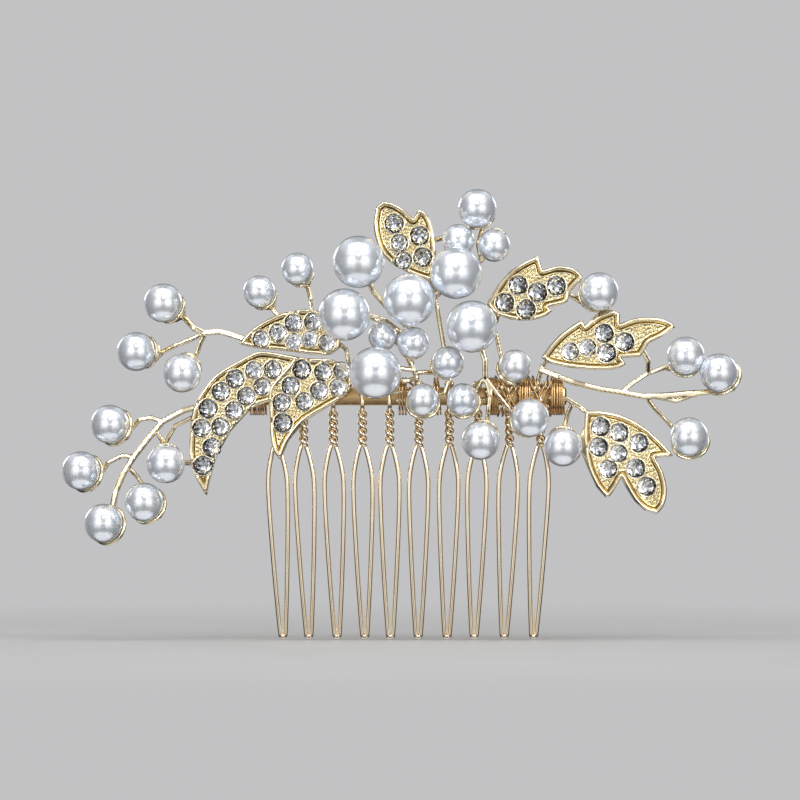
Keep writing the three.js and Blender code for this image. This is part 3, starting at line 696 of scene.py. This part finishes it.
def paved_block(leaf, step):
    """The relief of a leaf as a closed block over a grid, its walls hidden in the rim."""
    low, high = leaf.edge.min(0), leaf.edge.max(0)
    nu, nv = (np.ceil((high - low) / step)).astype(int) + 1
    columns, rows = low[0] + step * np.arange(nu), low[1] + step * np.arange(nv)
    flat = np.stack(np.meshgrid(columns, rows, indexing="ij"), 2).reshape(-1, 2)
    kept = inside(flat, leaf.edge)
    gap = np.zeros(len(flat))
    gap[kept] = distance(flat[kept], leaf.edge)
    kept &= gap > 0.14
    number = -np.ones(len(flat), int)
    number[kept] = np.arange(kept.sum())
    number = number.reshape(nu, nv)
    cells = np.stack([number[:-1, :-1], number[1:, :-1], number[1:, 1:], number[:-1, 1:]], 2).reshape(-1, 4)
    cells = cells[(cells >= 0).all(1)]
    used = np.unique(cells)
    remap = -np.ones(kept.sum(), int)
    remap[used] = np.arange(len(used))
    cells = remap[cells]
    uv, gap = flat[kept][used], gap[kept][used]
    height = leaf_height(uv, leaf, gap)
    top, bottom = leaf.at(uv, height), leaf.at(uv, -TRAY_DEPTH)
    count = len(uv)
    edges = {}
    for cell in cells.tolist():
        for i in range(4):
            edges[(cell[i], cell[(i + 1) % 4])] = True
    walls = [[b, a, a + count, b + count] for a, b in edges if (b, a) not in edges]
    faces = cells.tolist() + (cells[:, ::-1] + count).tolist() + walls
    # painted shade on the low ground between the beads and in the groove inside the rim; none on the block's
    # bottom
    painted_shade = np.clip((0.24 - height) / 0.3, 0, 1)
    return np.vstack([top, bottom]), faces, np.concatenate([painted_shade, painted_shade * 0])


def even_loop(points, step):
    """Points at an even spacing round a closed line."""
    p = np.vstack([points, points[:1]])
    length = lengths_along(p)
    at = np.linspace(0, length[-1], int(length[-1] / step), endpoint=False)
    return np.column_stack([np.interp(at, length, column) for column in p.T])


def leaf_rims(leaf):
    """The raised rim, the ridge, and a collar round each seat where it lies within the rim."""
    edge = leaf.edge
    along = unit(np.roll(edge, -1, 0) - np.roll(edge, 1, 0))
    area = (edge[:, 0] * np.roll(edge[:, 1], -1) - np.roll(edge[:, 0], -1) * edge[:, 1]).sum()
    inward = np.column_stack([-along[:, 1], along[:, 0]]) * (1 if area > 0 else -1)
    line = edge + inward * RIM_INSET
    line = line[distance(line, edge) > 0.93 * RIM_INSET]
    line = even_loop(line, 0.15)
    under = 1 - np.clip((leaf.stone_gap(line) - 0.17) / 0.25, 0, 1)
    rods = [sweep(leaf.at(line, RIM_HEIGHT - RIM_DIP * under), RIM_RADIUS, 12, closed=True)]
    if len(leaf.ridge):
        rods.append(sweep(leaf.at(leaf.ridge, RIDGE_HEIGHT), RIDGE_RADIUS, 10))
    angle = 2 * np.pi * np.arange(40) / 40
    circle = np.column_stack([np.cos(angle), np.sin(angle)])
    for place, radius in zip(leaf.stones, leaf.radii):
        ring = place + circle * (radius + COLLAR_GAP)
        clear = inside(ring, edge) & (distance(ring, edge) > RIM_INSET)
        if clear.all():
            rods.append(sweep(leaf.at(ring, COLLAR_HEIGHT), COLLAR_RADIUS, 8, closed=True))
            continue
        start = int(np.flatnonzero(~clear)[0])
        ring, clear = np.roll(ring, -start, 0), np.roll(clear, -start)
        ends = np.flatnonzero(np.diff(np.append(clear, False).astype(int)))
        for first, last in zip(ends[::2] + 1, ends[1::2] + 1):
            if last - first > 3:
                rods.append(sweep(leaf.at(ring[first:last], COLLAR_HEIGHT), COLLAR_RADIUS, 8))
    return rods


def stone_places(name):
    """Centres of the CAD stones' tables in a stone set, with the normal they share."""
    co, tris, _, _ = top_plane(name, lambda area, offset: offset)
    patches = []
    for tri in tris:
        joined = [p for p in patches if p & set(tri)]
        merged = set(tri).union(*joined)
        patches = [p for p in patches if p not in joined] + [merged]
    return [co[sorted(p)].mean(0) for p in patches]


LEAVES = {}
for stones in STONE_SETS:
    places = stone_places(stones)
    middle = np.mean(places, 0)
    leafed = [c for c in CASTINGS if "leaf" in c]
    owner = min(leafed, key=lambda c: np.linalg.norm(CASTING_MESHES[c][0] - middle, axis=1).min())
    leaf = Leaf(owner)
    leaf.set_stones(places)
    LEAVES[owner] = (leaf, stones)

# The twin leaf's halves meet in a ridge that runs from the notch between them up to its top edge.
TWIN_RIDGE = np.array([(0.1, 0.2), (0.4, 1.9), (1.5, 3.4), (2.6, 4.6), (3.4, 5.6), (3.9, 6.3)])


def notch(leaf):
    """The corner of the outline that is sharpest inwards."""
    turn = turns(leaf.edge)
    return leaf.edge[np.argmin(turn * np.sign(turn.sum()))]


twin = LEAVES["left_twin_leaf_casting"][0]
twin.ridge = curve_through(notch(twin) + TWIN_RIDGE, 0.1)

# -------------------------------- castings

SWELL = 0.05  # makes up for what smoothing takes off thin stems
SMOOTH_ROUNDS, BROAD_ROUNDS = 30, 8
# The castings' painted shade is darkest this far below their broadly smoothed surface.
PAINTED_SHADE_DEPTH = 0.12  # below the broad surface, where the metal's colour is deepest


def draw_in_cups(name):
    """The CAD casting with the corners of its faceted cups drawn in, so that the round cups cover them."""
    co, tris = CASTING_MESHES[name]
    co = co.copy()
    for pearl in PEARLS:
        centre, radius, axis = PEARL_FITS[pearl]
        out = co - centre
        length = np.linalg.norm(out, axis=1)
        corner = (length > radius) & (length < radius + CUP_REACH) & (out @ axis > 0)
        corner &= np.linalg.norm(np.cross(out, axis), axis=1) > 0.6  # the stem's own corners stay
        away = unit(out[corner])
        across = away - (away @ axis)[:, None] * axis
        sine = np.linalg.norm(across, axis=1, keepdims=True)
        lowered = np.minimum(sine, LIPS[pearl])
        away = across / sine * lowered + np.sqrt(1 - lowered**2) * axis
        co[corner] = centre + away * np.minimum(length[corner], radius + 0.22)[:, None]
    return co, tris


def hollow_out(co, leaf):
    """Sinks the front of the casting's plate into a tray for the leaf's relief, and hollows its back."""
    h = co @ leaf.normal - leaf.offset
    uv = np.column_stack([co @ leaf.u, co @ leaf.v])
    near = np.flatnonzero((h > -0.6) & (h < 0.3))
    near = near[inside(uv[near], leaf.edge)]
    share = np.clip((distance(uv[near], leaf.edge) - TRAY_BORDER) / TRAY_SLOPE, 0, 1)
    sunk = h[near] + share * (-TRAY_DEPTH - 0.03 - h[near])
    gap = leaf.stone_gap(uv[near])
    sunk = np.where(gap < SEAT_GAP, np.minimum(sunk, seat_height(gap)), sunk)
    co = co.copy()
    co[near] += (sunk - h[near])[:, None] * leaf.normal
    back = np.flatnonzero(np.abs(h + PLATE_THICKNESS + SWELL) < 0.12)
    back = back[inside(uv[back], leaf.edge)]
    share = np.clip((distance(uv[back], leaf.edge) - BACK_BORDER) / BACK_SLOPE, 0, 1)
    co[back] += (ease(share) * BACK_HOLLOW)[:, None] * leaf.normal
    return co


def casting_shape(name):
    """The cast stems, cups and plate as one smooth surface, and the painted shade of each of its points, by
    how deep in a hollow it lies.
    """
    co, quads = voxel_union([draw_in_cups(name), *CUPS.get(name, [])], VOXEL)
    co = smooth_verts(co, quads, SMOOTH_ROUNDS)
    normals = vertex_normals(co, quads)
    broad = smooth_verts(co, quads, BROAD_ROUNDS, swell=0.5)
    # painted shade: how far each point lies below a broadly smoothed copy of the surface
    painted_shade = np.clip(((broad - co) * normals).sum(1) / PAINTED_SHADE_DEPTH, 0, 1)
    co += normals * SWELL
    if name in LEAVES:
        co = hollow_out(co, LEAVES[name][0])
    return co, quads, painted_shade


for name in CASTINGS:
    verts, quads, painted_shade = casting_shape(name)
    pieces = [new_object(f"{name}_gold", verts, quads, GOLD, painted_shade=painted_shade)]
    if name in LEAVES:
        leaf = LEAVES[name][0]
        verts, faces, painted_shade = paved_block(leaf, LEAF_STEP)
        pieces.append(new_object(f"{name}_relief", verts, faces, BED, painted_shade=painted_shade))
        pieces.append(new_object(f"{name}_rims", *join(leaf_rims(leaf)), GOLD))
    stand_in_for(name, pieces)

# -------------------------------- stones


def brilliant(leaf, uv, r, spin):
    """A round cut stone: table, star and kite facets, girdle, and a pointed back of eight facets. Returns
    the glass and the foil cup behind it."""
    girdle, star_height, crown, depth = 0.3, 0.6, 0.76, -0.6 * r / STONE_RADIUS
    table_share, star_share = 0.62, 0.82  # of the radius

    def ring(radius, h, count, phase):
        angle = spin + 2 * np.pi * (np.arange(count) + phase) / count
        return leaf.at(np.column_stack([uv[0] + radius * np.cos(angle), uv[1] + radius * np.sin(angle)]), h)

    def tip(h):
        return leaf.at(np.array([uv]), h)

    glass = np.vstack([ring(table_share * r, crown, 8, 0), ring(star_share * r, star_height, 8, 0.5),
                       ring(r, girdle + 0.05, 16, 0), ring(r, girdle, 16, 0), tip(depth)])
    star, upper, lower, end = 8, 16, 32, 48
    faces = [list(range(8))]
    for k in range(8):
        n, a, b, c = (k + 1) % 8, 2 * k, 2 * k + 1, (2 * k + 2) % 16
        faces += [[k, star + k, n], [n, star + k, upper + c], [n, upper + c, star + n],
                  [star + k, upper + b, upper + c], [star + k, upper + a, upper + b],
                  [upper + a, lower + a, lower + b, upper + b], [upper + b, lower + b, lower + c, upper + c],
                  [lower + a, end, lower + c], [lower + a, lower + c, lower + b]]
    foil = np.vstack([ring(r + 0.02, girdle - 0.04, 16, 0), tip(depth - 0.06),
                      ring(r + 0.06, girdle - 0.1, 16, 0), tip(depth - 0.14)])
    foil_faces = []
    for k in range(8):
        a, b, c = 2 * k, 2 * k + 1, (2 * k + 2) % 16
        foil_faces += [[a, 16, c], [a, c, b], [17 + a, 17 + c, 33], [17 + a, 17 + b, 17 + c],
                       [a, b, 17 + b, 17 + a], [b, c, 17 + c, 17 + b]]
    return (glass, faces), (foil, foil_faces)


FOIL_FACES = 6  # faces of the foil behind each of a stone's eight back facets

for owner, (leaf, node) in LEAVES.items():
    glass, foils, shades = [], [], []
    for uv, radius in zip(leaf.stones, leaf.radii):
        stone, foil = brilliant(leaf, uv, radius, rng.uniform(0, 2 * np.pi))
        glass.append(stone)
        foils.append(foil)
        # painted dark reflections: alternate back facets darkened, with a random spread
        shade = 0.8 * (np.arange(8) % 2) + rng.uniform(-0.3, 0.2, 8)
        shades.append(np.repeat(np.clip(shade, 0, 1), FOIL_FACES))
    stones = new_object(f"{node}_crystal", *join(glass), CRYSTAL, smooth=False)
    backs = new_object(f"{node}_foil", *join(foils), FOIL, smooth=False, painted_shade=np.concatenate(shades))
    stand_in_for(node, [stones, backs])

# -------------------------------- teeth

TWIST_TURNS, TWIST_RADIUS, WIRE_RADIUS = 2.25, 0.4, 0.37
TWIST_TOP, TWIST_END = -2.1, -7.7  # heights below the bar's centre, as in the CAD teeth
LEG_SWEEP = 0.0022  # how the legs bend backwards, over the square of the drop
# The legs' distance from the middle of the tooth, by height below the bar's centre.
LEG_LINE = ((0.95, -9.7), (1.42, -12.6), (1.45, -16.5), (1.2, -23), (0.84, -30), (0.42, -36.4))


def bar_line():
    """The spine bar's plan, from its CAD stations: x with the middle of its thickness, and half of it."""
    co, _ = cad_mesh("spine_bar")
    stations = np.unique(co[:, 0].round(2))
    sides = [co[np.abs(co[:, 0] - x) < 0.3][:, 1] for x in stations]
    middle = np.array([(y.min() + y.max()) / 2 for y in sides])
    half = float(np.median([(y.max() - y.min()) / 2 for y in sides]))
    return stations, middle, half


BAR_X, BAR_MIDDLE, BAR_HALF = bar_line()


def hairpin(node):
    """The wire's centreline: over the bar, down the twist, out to the legs and round the tip."""
    co, _ = cad_mesh(node)
    centre = co[co[:, 2] > -TWIST_RADIUS][:, 0].mean()
    tip_z = co[:, 2].min() + WIRE_RADIUS
    tip = co[co[:, 2] < tip_z + 0.5]
    middle = np.interp(centre, BAR_X, BAR_MIDDLE)
    reach = BAR_HALF + WIRE_RADIUS + 0.08
    crest = co[:, 2].max() - WIRE_RADIUS + 0.02
    half = []
    for side in (-1, 1):
        points = [(side * 0.42, side * 0.12, crest), (side * 0.36, side * 0.66, crest - 0.1),
                  (side * 0.28, side * reach, crest - 0.6), (side * 0.1, side * reach, 0),
                  (0, side * reach, -1.4)]
        samples = 40
        for i in range(samples + 1):
            angle = side * math.pi / 2 + 2 * math.pi * TWIST_TURNS * i / samples
            z = TWIST_TOP + (TWIST_END - TWIST_TOP) * i / samples
            points.append((TWIST_RADIUS * math.cos(angle), TWIST_RADIUS * math.sin(angle), z))
        points += [(-side * x, 0, z) for x, z in (*LEG_LINE, (0.27, tip_z + 0.25))]
        half.append(points)
    line = np.array(half[0] + [(0, 0, tip_z)] + half[1][::-1])
    drop = np.maximum(0, TWIST_END - line[:, 2])
    line[:, 0] += centre + (tip[:, 0].mean() - centre) * drop / (TWIST_END - tip_z)
    line[:, 1] += middle + LEG_SWEEP * drop**2
    return line


for node in TEETH:
    wire = sweep(curve_through(hairpin(node), 0.22), WIRE_RADIUS, 16)
    stand_in_for(node, [new_object(f"{node}_wire", *wire, WIRE)])

# -------------------------------- binding wire

BINDING_RADIUS, BINDING_PITCH = 0.17, 0.4
TURN_STEPS = 24  # points of one turn round the bar
SLANTED_TURNS = 4


def turn_groups(node):
    """The stretches of bar that a CAD coil covers, from where its wire passes under the bar."""
    co, _ = cad_mesh(node)
    under = np.sort(co[co[:, 2] < co[:, 2].min() + 0.5][:, 0])
    cuts = np.flatnonzero(np.diff(under) > 1.5)
    return [(g[0] + 0.15, g[-1] - 0.15) for g in np.split(under, cuts + 1)]


def coil_line(node):
    """The tight turns of a binding wire, round the bar and all that lies against it."""
    co, _ = cad_mesh(node)
    points, places = [], []
    for low, high in turn_groups(node):
        places += list(np.linspace(low, high, max(3, round((high - low) / BINDING_PITCH) + 1)))
    height = (co[:, 2].max() - co[:, 2].min()) / 2 - BINDING_RADIUS
    for x, following in zip(places, places[1:]):
        near = co[np.abs(co[:, 0] - x) < 0.8]
        low, high = near[:, 1].min() + 0.15, near[:, 1].max() - 0.15
        middle, depth = (low + high) / 2, (high - low) / 2
        wobble = rng.uniform(-0.06, 0.06)
        for i in range(TURN_STEPS):
            share = i / TURN_STEPS
            angle = 2 * math.pi * share
            across = ease(min(max((share - 0.55) / 0.4, 0), 1))
            points.append((x + (following - x) * across + wobble * math.sin(angle),
                           middle - depth * np.sign(math.sin(angle)) * abs(math.sin(angle)) ** 0.6,
                           -height * np.sign(math.cos(angle)) * abs(math.cos(angle)) ** 0.6))
    return np.array(points)


def slanted_wraps(node):
    """Loose turns that slant across the front between the tight groups of a coil."""
    co, _ = cad_mesh(node)
    height = (co[:, 2].max() - co[:, 2].min()) / 2 - BINDING_RADIUS
    groups = turn_groups(node)
    wraps = []
    for (_, left), (right, _) in zip(groups, groups[1:]):
        for k in range(SLANTED_TURNS):
            start, end = left - 0.2 + 0.35 * k, right - 0.9 + 0.35 * k
            if k % 2:
                start, end = end, start
            near = co[np.abs(co[:, 0] - (left + right) / 2) < 2.5]
            front, back = near[:, 1].min() + 0.1 - 0.09 * k, near[:, 1].max() - 0.15
            turn = [(start, back, 0.4 * height), (start, back, height), (start, 0, height + 0.25),
                    (start * 0.9 + end * 0.1, front, height * 0.8), ((start + end) / 2, front - 0.1, 0),
                    (start * 0.1 + end * 0.9, front, -height * 0.8), (end, 0, -height - 0.2),
                    (end, back, -height), (end, back, -0.4 * height)]
            wraps.append(curve_through(turn, 0.16))
    return wraps


for node in BINDINGS:
    lines = [curve_through(coil_line(node), 0.16)]
    if node == "binding_wire_right":
        lines += slanted_wraps(node)
    coil = join([sweep(line, BINDING_RADIUS, 8) for line in lines])
    stand_in_for(node, [new_object(f"{node}_coil", *coil, GOLD_IN_SHADE)])

# -------------------------------- spine bar


def bar_shape():
    """The flat bar with its rolled edges and rounded ends, bent along the CAD bar's plan."""
    co, _ = cad_mesh("spine_bar")
    half_height, corner = float(co[:, 2].max()), 0.22
    line = curve_through(np.column_stack([BAR_X, BAR_MIDDLE]), 0.4)
    line[[0, -1]] += [[0.02, 0], [-0.02, 0]]
    along = unit(np.gradient(line, axis=0))
    turn = np.linspace(0, np.pi / 2, 5)
    quarter = np.column_stack([BAR_HALF - corner + corner * np.cos(turn),
                               half_height - corner + corner * np.sin(turn)])
    section = np.vstack([quarter, quarter[::-1] * [-1, 1], -quarter, quarter[::-1] * [1, -1]])
    rings = []
    for i, (p, t) in enumerate(zip(line, along)):
        across = np.array([-t[1], t[0], 0])
        shrink = 0.9 if i in (0, len(line) - 1) else 1.0
        rings.append([p[0], p[1], 0] + shrink * (section[:, :1] * across + section[:, 1:] * [0, 0, 1.0]))
    count, sides = len(rings), len(section)
    faces = []
    for a in range(0, (count - 1) * sides, sides):
        b = a + sides
        faces += [[a + k, a + (k + 1) % sides, b + (k + 1) % sides, b + k] for k in range(sides)]
    faces += [list(range(sides))[::-1], [(count - 1) * sides + k for k in range(sides)]]
    return np.vstack(rings), faces


stand_in_for("spine_bar", [new_object("spine_bar_plate", *bar_shape(), GOLD_IN_SHADE)])

# -------------------------------- stage, light and camera

# Everything on the stage is in metres.
low, high = (np.array(c) for c in CAD_BOX)
IMAGE_WIDTH = 0.12308  # across the picture at the comb
CAMERA_DISTANCE = 1.2
SENSOR_WIDTH = 36
AIM = Vector((low + high) / 2) + Vector((-0.0002, 0, 0.0023))
BACKGROUND = (0.54, 0.54, 0.55)
TENT_STRENGTH = 2.3
FLOOR_HALF = 3000  # millimetres, as in every mesh
FLOOR_GAP = 0.0001


def floor():
    """A pale floor that fades into the background away from the comb."""
    verts = np.array([(-1, -1, 0), (1, -1, 0), (1, 1, 0), (-1, 1, 0)], float) * FLOOR_HALF
    material, tree, shader = node_material("floor_paint")
    colour = grey_ramp(tree, noise(tree, 40), [(0.3, 0.56), (0.7, 0.59)])
    tree.links.new(colour, shader.inputs["Base Color"])
    shader.inputs["Roughness"].default_value = 0.6
    coords = add(tree, "ShaderNodeTexCoord")
    away = add(tree, "ShaderNodeVectorMath", operation="LENGTH")
    tree.links.new(coords.outputs["Object"], away.inputs[0])
    fade = add(tree, "ShaderNodeMapRange", interpolation_type="SMOOTHSTEP")
    for key, value in {"From Min": 0.02, "From Max": 0.24}.items():
        fade.inputs[key].default_value = value
    tree.links.new(away.outputs["Value"], fade.inputs["Value"])
    path = add(tree, "ShaderNodeLightPath")
    seen = add(tree, "ShaderNodeMath", operation="MULTIPLY")
    tree.links.new(fade.outputs["Result"], seen.inputs[0])
    tree.links.new(path.outputs["Is Camera Ray"], seen.inputs[1])
    far = add(tree, "ShaderNodeEmission", Color=(*BACKGROUND, 1), Strength=1.0)
    mix = add(tree, "ShaderNodeMixShader")
    tree.links.new(seen.outputs[0], mix.inputs[0])
    tree.links.new(shader.outputs[0], mix.inputs[1])
    tree.links.new(far.outputs[0], mix.inputs[2])
    tree.links.new(mix.outputs[0], tree.nodes["Material Output"].inputs["Surface"])
    obj = new_object("floor", verts, [[0, 1, 2, 3]], material)
    obj.location = (AIM.x, 0, low[2] - FLOOR_GAP)
    obj.visible_glossy = False


def softbox(name, at, size, power):
    """A white area light aimed at the comb."""
    data = bpy.data.lights.new(name, "AREA")
    data.shape = "RECTANGLE"
    data.size, data.size_y = size
    data.energy = power
    obj = bpy.data.objects.new(name, data)
    obj.location = at
    obj.rotation_euler = (AIM - Vector(at)).to_track_quat("-Z", "Y").to_euler()
    bpy.context.scene.collection.objects.link(obj)


def world():
    """Pale to the camera. Reflections see a light tent: bright above, a dark band below the lens, a pale
    table, and in front two wide windows with a dim gap between them, a little brighter round the lens."""
    made = bpy.data.worlds.new("studio")
    bpy.context.scene.world = made
    made.use_nodes = True
    tree = made.node_tree
    tree.nodes.clear()
    coords = add(tree, "ShaderNodeTexCoord")
    split = add(tree, "ShaderNodeSeparateXYZ")
    tree.links.new(coords.outputs["Generated"], split.inputs[0])

    def levels(axis, stops):
        """Brightness by direction along one axis, where 0.5 is level with the comb."""
        spread = add(tree, "ShaderNodeMapRange")
        spread.inputs["From Min"].default_value = -1
        tree.links.new(split.outputs[axis], spread.inputs["Value"])
        return grey_ramp(tree, spread.outputs["Result"], stops)

    def product(one, *others):
        for other in others:
            one = combine(tree, "MULTIPLY", one, other)
        return one

    bands = levels("Z", [(0.1, 0.08), (0.25, 0.05), (0.33, 0.3), (0.5, 0.56), (0.72, 0.26), (0.86, 1.0)])
    table = levels("Z", [(0.0, 0.4), (0.08, 0.34), (0.13, 0.0)])
    depth = levels("Y", [(0.0, 1.0), (0.22, 0.75), (0.36, 0.3), (0.5, 0.15), (0.7, 0.2), (1.0, 0.5)])
    windows = levels("X", [(0.06, 0.2), (0.15, 1.0), (0.34, 1.15), (0.41, 0.15), (0.59, 0.15), (0.66, 1.15),
                           (0.85, 1.0), (0.94, 0.2)])
    row = levels("Z", [(0.42, 0.0), (0.49, 0.3), (0.51, 0.3), (0.58, 0.0)])
    column = levels("X", [(0.3, 0.0), (0.42, 1.0), (0.58, 1.0), (0.7, 0.0)])
    front = combine(tree, "ADD", product(bands, depth, windows), product(row, column, depth))
    light = combine(tree, "ADD", front, table)
    tent = add(tree, "ShaderNodeBackground", Strength=TENT_STRENGTH)
    tree.links.new(light, tent.inputs["Color"])
    pale = add(tree, "ShaderNodeBackground", Color=(*BACKGROUND, 1), Strength=1.0)
    path = add(tree, "ShaderNodeLightPath")
    choose = add(tree, "ShaderNodeMixShader")
    out = add(tree, "ShaderNodeOutputWorld")
    tree.links.new(path.outputs["Is Camera Ray"], choose.inputs[0])
    tree.links.new(tent.outputs[0], choose.inputs[1])
    tree.links.new(pale.outputs[0], choose.inputs[2])
    tree.links.new(choose.outputs[0], out.inputs[0])


def camera():
    """Level with the comb and straight in front of it, as in the photo."""
    data = bpy.data.cameras.new("camera")
    data.sensor_width = SENSOR_WIDTH
    data.lens = data.sensor_width * CAMERA_DISTANCE / IMAGE_WIDTH
    data.clip_end = 10
    obj = bpy.data.objects.new("camera", data)
    obj.location = AIM + Vector((0, -CAMERA_DISTANCE, 0))
    obj.rotation_euler = (math.pi / 2, 0, 0)
    bpy.context.scene.collection.objects.link(obj)
    bpy.context.scene.camera = obj


bpy.context.scene.view_settings.view_transform = "Standard"
floor()
softbox("key_left", (-0.27, -0.48, 0.12), (0.16, 0.14), 0.6)
softbox("key_right", (0.27, -0.48, 0.1), (0.16, 0.14), 0.55)
softbox("key_top", (0.0, -0.42, 0.3), (0.1, 0.1), 0.2)
softbox("back_left", (-0.3, 0.42, 0.14), (0.2, 0.16), 0.2)
softbox("back_right", (0.3, 0.42, 0.14), (0.2, 0.16), 0.2)
softbox("overhead", (0, -0.12, 0.4), (0.5, 0.3), 1.0)
world()
camera()
